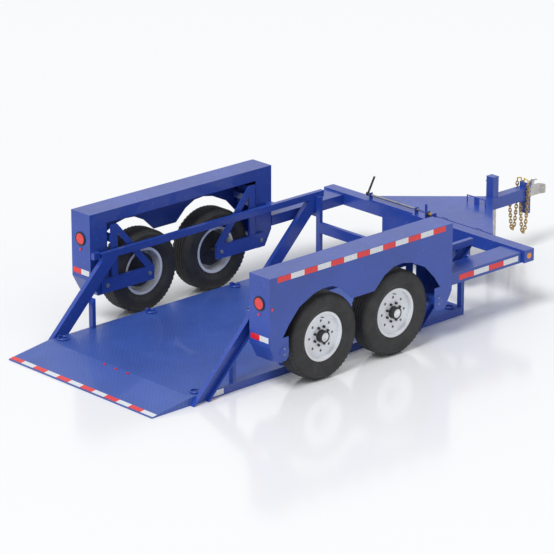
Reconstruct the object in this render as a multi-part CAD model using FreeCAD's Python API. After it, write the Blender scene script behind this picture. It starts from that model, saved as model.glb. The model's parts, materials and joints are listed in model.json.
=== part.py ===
"""Drop-deck flatbed trailer: a low deck hung between two wheel boxes, with a hinged tongue.

Millimetres. +X points to the coupler, +Y to the trailer's left, +Z up.
The origin is on the ground, under the middle of the trailer.
"""

import FreeCAD, Part
import math
import os

from FreeCAD import Vector

os.makedirs("parts", exist_ok=True)

# ---------------------------------------------------------------- lengths along the trailer
RAMP_LENGTH = 442.0
DECK_LENGTH = 3275.0
WHEEL_BOX_SETBACK = 572.0        # deck's rear edge to the wheel box's rear wall
WHEEL_BOX_LENGTH = 2181.0
SIDE_RAIL_OVERHANG = 403.0       # deck's front edge to the crossbeam
CROSSBEAM_WIDTH = 123.0
TONGUE_REACH = 1256.0            # crossbeam to the coupler channel
COUPLER_CHANNEL_DEPTH = 45.0
COUPLER_LENGTH = 240.0

# ---------------------------------------------------------------- widths
OVERALL_WIDTH = 2590.0
WHEEL_BOX_INSET = 8.0            # crossbeam's end to the wheel box's outer skin
WHEEL_BOX_WIDTH = 252.0
ARM_GAP = 7.0                    # wheel box to swing arm
ARM_THICKNESS = 32.0
RAIL_GAP = 8.0                   # swing arm to top rail
TOP_RAIL_WIDTH = 46.0
SIDE_RAIL_WIDTH = 239.0
SIDE_RAIL_INSET = 28.0           # crossbeam's end to the side rail's outer face

# ---------------------------------------------------------------- heights
DECK_HEIGHT = 72.0
DECK_PLATE = 8.0
TOP_RAIL_BOTTOM = 658.0
TOP_RAIL_HEIGHT = 60.0
WHEEL_BOX_TOP = 1065.0
WHEEL_BOX_FOOT = 450.0
CROSSBEAM_TOP = 595.0
CROSSBEAM_HEIGHT = 117.0
SIDE_RAIL_DROP = 15.0            # crossbeam's top to the side rail's top
SIDE_RAIL_HEIGHT = 100.0

# ---------------------------------------------------------------- sheet and section thickness
SKIN = 6.0
SECTION_WALL = 6.0

# ---------------------------------------------------------------- deck frame
SILL_WIDTH = 50.0
CROSSMEMBER_COUNT = 9
CROSSMEMBER_WIDTH = 50.0
CROSSMEMBER_CLEARANCE = 4.0      # crossmember to the ground
RAMP_EDGE = 10.0
RAMP_RIB_COUNT = 5
POST_DEPTH = 38.0
POST_WIDTH = 50.0
REAR_POST_BEHIND_BOX = 67.0      # rear post's front face to the wheel box's rear wall
BRACE_DEPTH = 125.0
BRACE_RISE_ANGLE = 45.0
REAR_BRACE_TOP_X = 70.0          # from the wheel box's rear wall, at the top rail
FRONT_BRACE_TOP_X = 125.0        # from the brace's top to the deck's front edge
LOWER_BEAM_BOTTOM = 330.0
LOWER_BEAM_HEIGHT = 100.0
BULKHEAD_WIDTH = 1020.0
BULKHEAD_BOTTOM = 210.0
TOP_RAIL_REAR = 60.0             # from the wheel box's rear wall
TOP_RAIL_FRONT = 62.0            # past the deck's front edge

# ---------------------------------------------------------------- tie-down rings
RING_COUNT = 4                   # on each side of the deck
RING_FIRST = 109.0               # from the deck's rear edge
RING_PITCH = 1020.0
RING_INSET = 72.0                # from the deck's side
RING_RADIUS = 46.0
RING_BAR = 8.0
RING_LIFT = 0.5
RING_CLIP = (34.0, 30.0, 24.0)

# ---------------------------------------------------------------- wheels and swing arms
TYRE_RADIUS = 385.0
TYRE_WIDTH = 235.0
TYRE_SKIN_GAP = 7.0              # tyre's side to the wheel box's outer skin plane
TYRE_SHOULDER = 46.0
RIM_RADIUS = 203.0
RIM_FLANGE = 220.0
RIM_FLANGE_WIDTH = 10.0
RIM_WALL = 7.0
RIM_HALF_WIDTH = 84.0
WHEEL_DISC_INSET = 30.0          # rim's outer edge to the disc
WHEEL_DISC_THICKNESS = 12.0
HAND_HOLES = 8
HAND_HOLE_RADIUS = 13.0
HAND_HOLE_CIRCLE = 135.0
LUG_COUNT = 8
LUG_CIRCLE = 82.5
LUG_RADIUS = 11.0
LUG_HEIGHT = 16.0
HUB_RADIUS = 54.0
HUB_REACH = 52.0                 # past the disc's outer face
DRUM_RADIUS = 160.0
DRUM_WIDTH = 70.0
BEARING_CLEARANCE = 0.05
SPINDLE_RADIUS = 24.0
PIVOT_FROM_BOX_END = 165.0
ARM_LENGTH = 492.5
ARM_BAR_HEIGHT = 130.0
ARM_BAR_TAIL = 45.0              # past the pivot
ARM_BAR_NOSE = 52.0              # past the axle
ARM_POST_X = (60.0, 132.0)       # from the pivot
ARM_POST_TOP = 545.0             # above the pivot
ARM_POST_THICKNESS = 20.0
ARM_STRUT_WIDTH = 70.0
PIVOT_RADIUS = 25.0
PIVOT_TUBE_RADIUS = 45.0
PAD_SIZE = 190.0
PAD_THICKNESS = 12.0
PAD_HEIGHT = 415.0               # pad's centre above the pivot
SPRING_RADIUS = 112.0
SPRING_NECK = 92.0
SPRING_CONVOLUTIONS = 2
SPRING_GAP = 8.0                 # air spring's face to the arm's pad
BOX_LEG = 195.0                  # length of the wheel box's inner legs
BOX_BAND = 110.0                 # depth of the wheel box's inner band
ARCH_TOP = 842.0
ARCH_CENTRE_BOTTOM = 668.0
ARCH_CENTRE_LENGTH = 270.0
ARCH_OUTER_FOOT = 105.0
BRACKET_FOOT = 300.0
BRACKET_LENGTH = 215.0

# ---------------------------------------------------------------- tongue
HINGE_HEIGHT = 505.0
HINGE_AHEAD = 26.0               # crossbeam's front face to the hinge pin
HINGE_PIN_RADIUS = 10.0
HINGE_FIT = 0.05
HINGE_Y = (155.0, 588.0)
LUG_PLATE = 16.0
LUG_SIDE_GAP = 6.0
TONGUE_GAP = 14.0                # crossbeam to the tongue
TONGUE_PLATE = 8.0
TONGUE_HALF_BASE = 777.0
TONGUE_APEX_FROM_CHANNEL = 480.0
TONGUE_TUBE_WIDTH = 100.0
TONGUE_RAIL_WIDTH = 50.0
COUPLER_CHANNEL_WIDTH = 100.0
COUPLER_CHANNEL_BOTTOM = 338.0
COUPLER_CHANNEL_HEIGHT = 304.0
COUPLER_CHANNEL_WALL = 9.0
COUPLER_HOLE_RADIUS = 8.5
COUPLER_HOLE_PITCH = 50.8
COUPLER_HOLE_COUNT = 5
COUPLER_HOLE_FIRST = 36.0        # from the channel's foot
COUPLER_HEIGHT = 545.0
BALL_RADIUS = 30.0
JACK_AHEAD = 12.0                # from the tongue plate's apex
JACK_SIZE = (73.0, 89.0)
JACK_TOP = 790.0
JACK_WALL = 5.0
JACK_LEG_SIZE = 56.0
JACK_FOOT = (110.0, 12.0)
CHAIN_RADIUS = 7.0
CHAIN_SPAN = 100.0
CHAIN_LOW = 175.0

# ---------------------------------------------------------------- lamps and latch
TAIL_LAMP_RADIUS = 50.0
TAIL_LAMP_HEIGHT = 822.0
LAMP_DEPTH = 10.0
MARKER_RADIUS = 11.0
SIDE_LAMP_RADIUS = 27.0
LATCH_Y = 755.0
LATCH_END_Y = 95.0
LATCH_SHAFT_RADIUS = 10.0
LATCH_SHAFT_HEIGHT = 40.0        # above the crossbeam
HANDLE_HUB_RADIUS = 17.0
HANDLE_HUB_LENGTH = 22.0
HANDLE_RADIUS = 10.0
HANDLE_LENGTH = 175.0
HANDLE_LEAN = 30.0

# ---------------------------------------------------------------- stations worked out from the sizes
TOTAL_LENGTH = (RAMP_LENGTH + DECK_LENGTH + SIDE_RAIL_OVERHANG + CROSSBEAM_WIDTH
                + TONGUE_REACH + COUPLER_CHANNEL_DEPTH + COUPLER_LENGTH)
ramp_tip_x = -TOTAL_LENGTH / 2
deck_rear_x = ramp_tip_x + RAMP_LENGTH
deck_front_x = deck_rear_x + DECK_LENGTH
box_rear_x = deck_rear_x + WHEEL_BOX_SETBACK
box_front_x = box_rear_x + WHEEL_BOX_LENGTH
box_middle_x = (box_rear_x + box_front_x) / 2
beam_rear_x = deck_front_x + SIDE_RAIL_OVERHANG
beam_front_x = beam_rear_x + CROSSBEAM_WIDTH
channel_rear_x = beam_front_x + TONGUE_REACH
channel_front_x = channel_rear_x + COUPLER_CHANNEL_DEPTH
coupler_front_x = channel_front_x + COUPLER_LENGTH
apex_x = channel_rear_x - TONGUE_APEX_FROM_CHANNEL
pivot_x = box_rear_x + PIVOT_FROM_BOX_END
axle_x = pivot_x + ARM_LENGTH

half_width = OVERALL_WIDTH / 2
box_out_y = half_width - WHEEL_BOX_INSET
box_in_y = box_out_y - WHEEL_BOX_WIDTH
arm_out_y = box_in_y - ARM_GAP
arm_in_y = arm_out_y - ARM_THICKNESS
rail_out_y = arm_in_y - RAIL_GAP
rail_in_y = rail_out_y - TOP_RAIL_WIDTH
deck_half = rail_in_y
side_rail_out_y = half_width - SIDE_RAIL_INSET
side_rail_in_y = side_rail_out_y - SIDE_RAIL_WIDTH
tyre_out_y = box_out_y - TYRE_SKIN_GAP
tyre_in_y = tyre_out_y - TYRE_WIDTH
wheel_y = (tyre_out_y + tyre_in_y) / 2
spring_y = (box_out_y + box_in_y) / 2

rail_top = TOP_RAIL_BOTTOM + TOP_RAIL_HEIGHT
beam_bottom = CROSSBEAM_TOP - CROSSBEAM_HEIGHT
side_rail_top = CROSSBEAM_TOP - SIDE_RAIL_DROP
side_rail_bottom = side_rail_top - SIDE_RAIL_HEIGHT
pivot_z = TYRE_RADIUS
brace_run = BRACE_DEPTH / math.sin(math.radians(BRACE_RISE_ANGLE))


# ---------------------------------------------------------------- helpers
def box(x0, x1, y0, y1, z0, z1):
    """A block between two corners, given in any order."""
    low = Vector(min(x0, x1), min(y0, y1), min(z0, z1))
    return Part.makeBox(abs(x1 - x0), abs(y1 - y0), abs(z1 - z0), low)


def prism_y(points, y0, y1):
    """An outline in X and Z, thickened from y0 to y1."""
    corners = [Vector(x, min(y0, y1), z) for x, z in points]
    face = Part.Face(Part.makePolygon(corners + corners[:1]))
    return face.extrude(Vector(0, abs(y1 - y0), 0))


def prism_z(points, z0, z1):
    """An outline in X and Y, thickened from z0 to z1."""
    corners = [Vector(x, y, min(z0, z1)) for x, y in points]
    face = Part.Face(Part.makePolygon(corners + corners[:1]))
    return face.extrude(Vector(0, 0, abs(z1 - z0)))


def rod_y(radius, x, z, y0, y1):
    return Part.makeCylinder(radius, abs(y1 - y0), Vector(x, min(y0, y1), z), Vector(0, 1, 0))


def rod_x(radius, y, z, x0, x1):
    return Part.makeCylinder(radius, abs(x1 - x0), Vector(min(x0, x1), y, z), Vector(1, 0, 0))


def rod_z(radius, x, y, z0, z1):
    return Part.makeCylinder(radius, abs(z1 - z0), Vector(x, y, min(z0, z1)), Vector(0, 0, 1))


def turned_y(profile, x, z):
    """A profile of (radius, y) pairs turned about the wheel's axle."""
    corners = [Vector(x + r, y, z) for r, y in profile]
    face = Part.Face(Part.makePolygon(corners + corners[:1]))
    return face.revolve(Vector(x, 0, z), Vector(0, 1, 0), 360)


def turned_x(profile, y, z):
    """A profile of (x, radius) pairs turned about a line along X."""
    corners = [Vector(x, y, z + r) for x, r in profile]
    face = Part.Face(Part.makePolygon(corners + corners[:1]))
    return face.revolve(Vector(0, y, z), Vector(1, 0, 0), 360)


def fused(shapes):
    return shapes[0].multiFuse(shapes[1:]).removeSplitter()


def mirrored_side(shape):
    """The same piece on the trailer's right side."""
    return shape.mirror(Vector(0, 0, 0), Vector(0, 1, 0))


def mirrored_end(shape):
    """The same piece at the other end of the wheel box."""
    return shape.mirror(Vector(box_middle_x, 0, 0), Vector(1, 0, 0))


def both_sides(shapes):
    return list(shapes) + [mirrored_side(shape) for shape in shapes]


def save(node, shapes):
    """Write one node, as a single solid or as solids that stand apart."""
    group = shapes if isinstance(shapes, list) else [shapes]
    solids = [solid for shape in group for solid in shape.Solids]
    result = solids[0] if len(solids) == 1 else Part.makeCompound(solids)
    result.exportStep("parts/" + node + ".step")
    print(node, len(solids), "solids", round(sum(s.Volume for s in solids) / 1e9, 5), "m3")


# ---------------------------------------------------------------- deck
def deck_plate():
    return box(deck_rear_x, deck_front_x, -deck_half, deck_half, DECK_HEIGHT - DECK_PLATE, DECK_HEIGHT)


def side_sill():
    return box(deck_rear_x, deck_front_x, deck_half - SILL_WIDTH, deck_half, 0, DECK_HEIGHT - DECK_PLATE)


def deck_crossmembers():
    """Channels across the deck, open side down, the first and last one at the deck's ends."""
    reach = deck_half - SILL_WIDTH
    top = DECK_HEIGHT - DECK_PLATE
    pitch = (DECK_LENGTH - CROSSMEMBER_WIDTH) / (CROSSMEMBER_COUNT - 1)
    members = []
    for index in range(CROSSMEMBER_COUNT):
        x0 = deck_rear_x + index * pitch
        outer = box(x0, x0 + CROSSMEMBER_WIDTH, -reach, reach, CROSSMEMBER_CLEARANCE, top)
        inner = box(x0 + SECTION_WALL, x0 + CROSSMEMBER_WIDTH - SECTION_WALL, -reach, reach,
                    CROSSMEMBER_CLEARANCE, top - SECTION_WALL)
        members.append(outer.cut(inner))
    return members


def ramp_wedge():
    outline = [(ramp_tip_x, 0), (deck_rear_x, 0), (deck_rear_x, DECK_HEIGHT), (ramp_tip_x, RAMP_EDGE)]
    return prism_y(outline, -deck_half, deck_half)


def ramp():
    """A fixed wedge behind the deck: a sloped plate on ribs."""
    wedge = ramp_wedge()
    nose = ramp_tip_x + RAMP_EDGE * 4
    slope = (DECK_HEIGHT - RAMP_EDGE) / RAMP_LENGTH
    roof_nose = RAMP_EDGE + (nose - ramp_tip_x) * slope - DECK_PLATE
    roof_rear = DECK_HEIGHT - slope * SECTION_WALL - DECK_PLATE
    hollow = [(nose, 0), (deck_rear_x - SECTION_WALL, 0), (deck_rear_x - SECTION_WALL, roof_rear), (nose, roof_nose)]
    bay = (2 * deck_half - (RAMP_RIB_COUNT + 2) * SECTION_WALL) / (RAMP_RIB_COUNT + 1)
    for index in range(RAMP_RIB_COUNT + 1):
        y0 = -deck_half + SECTION_WALL + index * (bay + SECTION_WALL)
        wedge = wedge.cut(prism_y(hollow, y0, y0 + bay))
    return wedge


def tie_down_ring(x, y):
    """A ring lying on the deck, held down by a clip on its outer side."""
    height = DECK_HEIGHT + RING_BAR + RING_LIFT
    ring = Part.makeTorus(RING_RADIUS, RING_BAR, Vector(x, y, height))
    clip_x, clip_y, clip_z = RING_CLIP
    middle = y + RING_RADIUS
    clip = box(x - clip_x / 2, x + clip_x / 2, middle - clip_y / 2, middle + clip_y / 2,
               DECK_HEIGHT, DECK_HEIGHT + clip_z)
    return ring.fuse(clip)


def tie_down_rings():
    rings = []
    for index in range(RING_COUNT):
        x = deck_rear_x + RING_FIRST + index * RING_PITCH
        rings += both_sides([tie_down_ring(x, deck_half - RING_INSET)])
    return rings


# ---------------------------------------------------------------- side frames
def brace_block(top_x, inset, y0, y1):
    """A slanted bar from the ground line to the top rail, its edges drawn in by the inset."""
    run = TOP_RAIL_BOTTOM / math.tan(math.radians(BRACE_RISE_ANGLE))
    left = top_x + inset
    right = top_x + brace_run - inset
    outline = [(left, TOP_RAIL_BOTTOM), (right, TOP_RAIL_BOTTOM), (right - run, 0), (left - run, 0)]
    return prism_y(outline, y0, y1)


def brace(top_x):
    """A channel at a slant, open to the outside."""
    wall = SECTION_WALL / math.sin(math.radians(BRACE_RISE_ANGLE))
    channel = brace_block(top_x, 0, rail_in_y, rail_out_y)
    return channel.cut(brace_block(top_x, wall, rail_in_y + SECTION_WALL, rail_out_y))


rear_brace_top_x = box_rear_x + REAR_BRACE_TOP_X
front_brace_top_x = deck_front_x - FRONT_BRACE_TOP_X


def rear_post():
    """A short prop from the deck to the rear brace's lower edge."""
    front = box_rear_x - REAR_POST_BEHIND_BOX
    lower_edge_x = rear_brace_top_x + brace_run
    slope = math.tan(math.radians(BRACE_RISE_ANGLE))
    tops = [TOP_RAIL_BOTTOM - (lower_edge_x - x) * slope for x in (front - POST_DEPTH, front)]
    outline = [(front - POST_DEPTH, DECK_HEIGHT), (front, DECK_HEIGHT), (front, tops[1]), (front - POST_DEPTH, tops[0])]
    return prism_y(outline, deck_half - POST_WIDTH, deck_half)


def front_post():
    return box(deck_front_x - POST_DEPTH, deck_front_x, deck_half - POST_WIDTH, deck_half,
               DECK_HEIGHT, TOP_RAIL_BOTTOM + POST_DEPTH / 2)


def top_rail():
    """A square tube, open at both ends."""
    x0 = box_rear_x + TOP_RAIL_REAR
    x1 = deck_front_x + TOP_RAIL_FRONT
    outer = box(x0, x1, rail_in_y, rail_out_y, TOP_RAIL_BOTTOM, rail_top)
    wall = SECTION_WALL
    return outer.cut(box(x0, x1, rail_in_y + wall, rail_out_y - wall, TOP_RAIL_BOTTOM + wall, rail_top - wall))


def side_rail():
    """The wide flat tube from the wheel box to the crossbeam."""
    outer = box(box_front_x, beam_rear_x, side_rail_in_y, side_rail_out_y, side_rail_bottom, side_rail_top)
    wall = SECTION_WALL
    return outer.cut(box(box_front_x, beam_rear_x, side_rail_in_y + wall, side_rail_out_y - wall,
                         side_rail_bottom + wall, side_rail_top - wall))


def rail_bracket():
    """Ties the front post to the side rail, notched around the front brace."""
    bar = box(deck_front_x - POST_DEPTH, deck_front_x, deck_half, side_rail_in_y,
              side_rail_bottom, side_rail_top)
    return bar.cut(brace_block(front_brace_top_x, 0, rail_in_y, rail_out_y))


def box_bracket():
    """Ties the top rail to the wheel box, behind the swing arm."""
    x0 = box_rear_x + SKIN
    return box(x0, x0 + 74, rail_out_y, box_in_y, TOP_RAIL_BOTTOM, rail_top)


def crossbeam():
    outer = box(beam_rear_x, beam_front_x, -half_width, half_width, beam_bottom, CROSSBEAM_TOP)
    wall = SECTION_WALL
    inner = box(beam_rear_x + wall, beam_front_x - wall, wall - half_width, half_width - wall,
                beam_bottom + wall, CROSSBEAM_TOP - wall)
    beam = outer.cut(inner)
    for lamp in both_sides([side_marker()]):
        beam = beam.cut(lamp)
    return beam


def lower_beam():
    reach = deck_half - POST_WIDTH
    return box(deck_front_x - POST_DEPTH, deck_front_x, -reach, reach, LOWER_BEAM_BOTTOM,
               LOWER_BEAM_BOTTOM + LOWER_BEAM_HEIGHT)


def front_bulkhead():
    """A panel folded at its sides, hung below the crossbeam."""
    half = BULKHEAD_WIDTH / 2
    outer = box(beam_rear_x, beam_front_x, -half, half, BULKHEAD_BOTTOM, beam_bottom)
    inner = box(beam_rear_x + SKIN, beam_front_x, SKIN - half, half - SKIN, BULKHEAD_BOTTOM, beam_bottom)
    return outer.cut(inner)


# ---------------------------------------------------------------- wheel boxes
def bracket_outline():
    """The plate around the rear pivot, from the wheel box's foot to below the pivot."""
    foot_x = pivot_x - PIVOT_FROM_BOX_END / 2
    nose_x = box_rear_x + BRACKET_LENGTH
    return [(box_rear_x, WHEEL_BOX_FOOT), (foot_x, BRACKET_FOOT), (nose_x - 30, BRACKET_FOOT),
            (nose_x, BRACKET_FOOT + 30), (nose_x, WHEEL_BOX_FOOT + 60), (box_rear_x, WHEEL_BOX_FOOT + 60)]


def arch_line():
    """The outer skin's lower edge from the rear wall to the middle."""
    middle_start = box_middle_x - ARCH_CENTRE_LENGTH / 2
    rise = ARCH_TOP - WHEEL_BOX_FOOT
    return [(box_rear_x, WHEEL_BOX_FOOT), (box_rear_x + ARCH_OUTER_FOOT, WHEEL_BOX_FOOT),
            (box_rear_x + ARCH_OUTER_FOOT + 115, WHEEL_BOX_FOOT + 0.42 * rise),
            (box_rear_x + ARCH_OUTER_FOOT + 235, WHEEL_BOX_FOOT + 0.74 * rise),
            (axle_x - 150, ARCH_TOP - 22), (axle_x - 40, ARCH_TOP), (axle_x + 70, ARCH_TOP - 8),
            (axle_x + 180, ARCH_TOP - 62), (middle_start, ARCH_CENTRE_BOTTOM)]


def outer_skin():
    lower = arch_line()
    upper = [(box_middle_x, ARCH_CENTRE_BOTTOM), (box_middle_x, WHEEL_BOX_TOP), (box_rear_x, WHEEL_BOX_TOP)]
    half = prism_y(lower + upper, box_out_y - SKIN, box_out_y)
    plate = prism_y(bracket_outline(), box_out_y - SKIN, box_out_y)
    rear = fused([half, plate])
    return fused([rear, mirrored_end(rear)])


def inner_frame():
    """The wheel box's inner side: two legs under a band."""
    leg = box(box_rear_x, box_rear_x + BOX_LEG, box_in_y, box_in_y + SKIN, WHEEL_BOX_FOOT, WHEEL_BOX_TOP)
    plate = prism_y(bracket_outline(), box_in_y, box_in_y + SKIN)
    band = box(box_rear_x, box_middle_x, box_in_y, box_in_y + SKIN, WHEEL_BOX_TOP - BOX_BAND, WHEEL_BOX_TOP)
    rear = fused([leg, plate, band])
    return fused([rear, mirrored_end(rear)])


def end_walls():
    """The rear wall, and the slanted plate under it; the front has the same."""
    foot_x = pivot_x - PIVOT_FROM_BOX_END / 2
    outline = [(box_rear_x, WHEEL_BOX_TOP), (box_rear_x, WHEEL_BOX_FOOT), (foot_x, BRACKET_FOOT),
               (foot_x + SKIN, BRACKET_FOOT), (box_rear_x + SKIN, WHEEL_BOX_FOOT), (box_rear_x + SKIN, WHEEL_BOX_TOP)]
    rear = prism_y(outline, box_in_y, box_out_y)
    return [rear, mirrored_end(rear)]


def wheel_box():
    roof = box(box_rear_x, box_front_x, box_in_y, box_out_y, WHEEL_BOX_TOP - SKIN, WHEEL_BOX_TOP)
    shell = fused([outer_skin(), inner_frame(), roof] + end_walls())
    for x in (pivot_x, 2 * box_middle_x - pivot_x):
        shell = shell.cut(rod_y(PIVOT_TUBE_RADIUS, x, pivot_z, box_in_y, box_out_y))
    return shell


def pivot_tube():
    """The bearing tube of a swing arm, set through both sides of the wheel box."""
    tube = rod_y(PIVOT_TUBE_RADIUS, pivot_x, pivot_z, box_in_y, box_out_y)
    return tube.cut(rod_y(PIVOT_RADIUS + HINGE_FIT, pivot_x, pivot_z, box_in_y, box_out_y - 3 * SKIN))


pad_x = pivot_x + ARM_POST_X[0] - PAD_THICKNESS
spring_front_x = pad_x - SPRING_GAP


def air_spring():
    """A rubber bellows between the wheel box's end wall and the arm's pad."""
    x0 = box_rear_x + SKIN
    span = spring_front_x - x0
    profile = [(x0, 0), (x0, SPRING_NECK)]
    step = span / SPRING_CONVOLUTIONS
    for index in range(SPRING_CONVOLUTIONS):
        start = x0 + index * step
        profile += [(start + 0.25 * step, SPRING_RADIUS), (start + 0.75 * step, SPRING_RADIUS),
                    (start + step, SPRING_NECK)]
    profile += [(spring_front_x, 0)]
    return turned_x(profile, spring_y, pivot_z + PAD_HEIGHT)


# ---------------------------------------------------------------- swing arms
def swing_arm():
    """Level bar, upright post and strut, with the pivot pin and the air spring's pad."""
    half = ARM_BAR_HEIGHT / 2
    bar = box(pivot_x - ARM_BAR_TAIL, axle_x + ARM_BAR_NOSE, arm_in_y, arm_out_y, pivot_z - half, pivot_z + half)
    post_x0 = pivot_x + ARM_POST_X[0]
    post_x1 = pivot_x + ARM_POST_X[1]
    plate_y = arm_out_y - ARM_POST_THICKNESS
    top = pivot_z + ARM_POST_TOP
    post = box(post_x0, post_x1, plate_y, arm_out_y, pivot_z, top)
    nose = axle_x + ARM_BAR_NOSE
    strut = prism_y([(post_x1 - ARM_STRUT_WIDTH, top), (post_x1, top), (nose, pivot_z + half),
                     (nose - ARM_STRUT_WIDTH - 20, pivot_z + half)], plate_y, arm_out_y)
    pin = rod_y(PIVOT_RADIUS, pivot_x, pivot_z, arm_out_y, box_out_y - 4 * SKIN)
    reach_y = spring_y + PAD_SIZE / 2
    crossbar = box(post_x0, post_x0 + 50, plate_y, reach_y, pivot_z + PAD_HEIGHT - 30, pivot_z + PAD_HEIGHT + 30)
    pad = box(pad_x, post_x0, spring_y - PAD_SIZE / 2, reach_y, pivot_z + PAD_HEIGHT - PAD_SIZE / 2,
              pivot_z + PAD_HEIGHT + PAD_SIZE / 2)
    return fused([bar, post, strut, pin, crossbar, pad])


def spindle():
    """The stub axle that carries a wheel, fixed to the arm's outer face."""
    flange = rod_y(46, axle_x, pivot_z, arm_out_y, arm_out_y + 10)
    return flange.fuse(rod_y(SPINDLE_RADIUS, axle_x, pivot_z, arm_out_y, wheel_y + 50))


# ---------------------------------------------------------------- wheels
rim_out_y = wheel_y + RIM_HALF_WIDTH
disc_y = rim_out_y - WHEEL_DISC_INSET
hub_cap_y = disc_y + HUB_REACH


def tyre():
    bulge = TYRE_WIDTH / 2
    bead = RIM_HALF_WIDTH - RIM_FLANGE_WIDTH
    half = [(RIM_RADIUS, bead), (RIM_FLANGE + 3, bead), (RIM_FLANGE + 12, bead + 18), (RIM_FLANGE + 60, bulge),
            (TYRE_RADIUS - TYRE_SHOULDER - 30, bulge - 2), (TYRE_RADIUS - 22, bulge - 18),
            (TYRE_RADIUS - 5, bulge - 34), (TYRE_RADIUS, bulge - 52)]
    outer = half + [(r, -y) for r, y in reversed(half)]
    bead_inside = bead - 16
    inside = [(RIM_RADIUS, -bead_inside), (RIM_FLANGE + 60, -bulge + 16), (TYRE_RADIUS - TYRE_SHOULDER, -bulge + 22),
              (TYRE_RADIUS - 18, -bulge + 60), (TYRE_RADIUS - 18, bulge - 60),
              (TYRE_RADIUS - TYRE_SHOULDER, bulge - 22), (RIM_FLANGE + 60, bulge - 16), (RIM_RADIUS, bead_inside)]
    profile = [(r, wheel_y + y) for r, y in outer + inside]
    return turned_y(profile, axle_x, pivot_z)


def rim():
    """Rolled rim with flanges, and the pierced disc welded inside it."""
    edge = RIM_HALF_WIDTH
    inner = RIM_RADIUS - RIM_WALL
    flange = edge - RIM_FLANGE_WIDTH
    profile = [(inner, -edge), (RIM_FLANGE, -edge), (RIM_FLANGE, -flange), (RIM_RADIUS, -flange),
               (RIM_RADIUS, flange), (RIM_FLANGE, flange), (RIM_FLANGE, edge), (inner, edge)]
    barrel = turned_y([(r, wheel_y + y) for r, y in profile], axle_x, pivot_z)
    disc = rod_y(inner, axle_x, pivot_z, disc_y - WHEEL_DISC_THICKNESS, disc_y)
    disc = disc.cut(rod_y(HUB_RADIUS + 1, axle_x, pivot_z, disc_y - WHEEL_DISC_THICKNESS, disc_y))
    for index in range(HAND_HOLES):
        angle = 2 * math.pi * index / HAND_HOLES
        x = axle_x + HAND_HOLE_CIRCLE * math.cos(angle)
        z = pivot_z + HAND_HOLE_CIRCLE * math.sin(angle)
        disc = disc.cut(rod_y(HAND_HOLE_RADIUS, x, z, disc_y - WHEEL_DISC_THICKNESS, disc_y))
    return fused([barrel, disc])


def hub():
    """Brake drum, hub barrel and lug nuts; the drum's back is open around the spindle."""
    disc_back = disc_y - WHEEL_DISC_THICKNESS
    back = disc_back - DRUM_WIDTH
    drum = rod_y(DRUM_RADIUS, axle_x, pivot_z, back, disc_back)
    barrel = rod_y(HUB_RADIUS, axle_x, pivot_z, disc_back, hub_cap_y)
    bore = rod_y(SPINDLE_RADIUS + BEARING_CLEARANCE, axle_x, pivot_z, back, wheel_y + 52)
    body = drum.fuse(barrel)
    for index in range(LUG_COUNT):
        angle = 2 * math.pi * (index + 0.5) / LUG_COUNT
        x = axle_x + LUG_CIRCLE * math.cos(angle)
        z = pivot_z + LUG_CIRCLE * math.sin(angle)
        body = body.fuse(rod_y(LUG_RADIUS, x, z, disc_back, disc_y + LUG_HEIGHT))
    return body.cut(bore)


def rim_with_lug_holes():
    pierced = rim()
    for index in range(LUG_COUNT):
        angle = 2 * math.pi * (index + 0.5) / LUG_COUNT
        x = axle_x + LUG_CIRCLE * math.cos(angle)
        z = pivot_z + LUG_CIRCLE * math.sin(angle)
        pierced = pierced.cut(rod_y(LUG_RADIUS, x, z, disc_y - WHEEL_DISC_THICKNESS, disc_y))
    return pierced


# ---------------------------------------------------------------- tongue
hinge_x = beam_front_x + HINGE_AHEAD
tongue_rear_x = beam_front_x + TONGUE_GAP


def hinge_lugs():
    """Lugs welded to the crossbeam's front, each with its pin."""
    lugs = []
    for y in HINGE_Y:
        plate = box(beam_front_x, hinge_x, y - LUG_PLATE / 2, y + LUG_PLATE / 2, HINGE_HEIGHT - 20, HINGE_HEIGHT + 20)
        nose = rod_y(20, hinge_x, HINGE_HEIGHT, y - LUG_PLATE / 2, y + LUG_PLATE / 2)
        reach = LUG_PLATE / 2 + LUG_SIDE_GAP + LUG_PLATE
        pin = rod_y(HINGE_PIN_RADIUS, hinge_x, HINGE_HEIGHT, y - reach, y + reach)
        lugs += both_sides([fused([plate, nose, pin])])
    return lugs


def hinge_ears():
    """The tongue's ears, one each side of a lug."""
    ears = []
    for y in HINGE_Y:
        for side in (-1, 1):
            near = y + side * (LUG_PLATE / 2 + LUG_SIDE_GAP)
            far = near + side * LUG_PLATE
            nose = rod_y(20, hinge_x, HINGE_HEIGHT, near, far)
            plate = box(hinge_x, hinge_x + 60, near, far, HINGE_HEIGHT - 20, HINGE_HEIGHT + 20)
            ear = nose.fuse(plate)
            ears.append(ear.cut(rod_y(HINGE_PIN_RADIUS + HINGE_FIT, hinge_x, HINGE_HEIGHT, near, far)))
    return ears


def tongue_edge():
    """Plan outline of the tongue plate's left half."""
    half_tube = TONGUE_TUBE_WIDTH / 2
    return [(tongue_rear_x, half_tube), (tongue_rear_x, TONGUE_HALF_BASE), (apex_x, half_tube)]


def tongue_plate():
    top = CROSSBEAM_TOP
    right = [(x, -y) for x, y in reversed(tongue_edge())]
    plate = prism_z(tongue_edge() + right, top - TONGUE_PLATE, top)
    for y in (HINGE_Y[0], HINGE_Y[1], -HINGE_Y[0], -HINGE_Y[1]):
        plate = plate.cut(box(tongue_rear_x + 12, tongue_rear_x + 24, y - 40, y + 40, top - TONGUE_PLATE, top))
    return plate


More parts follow.
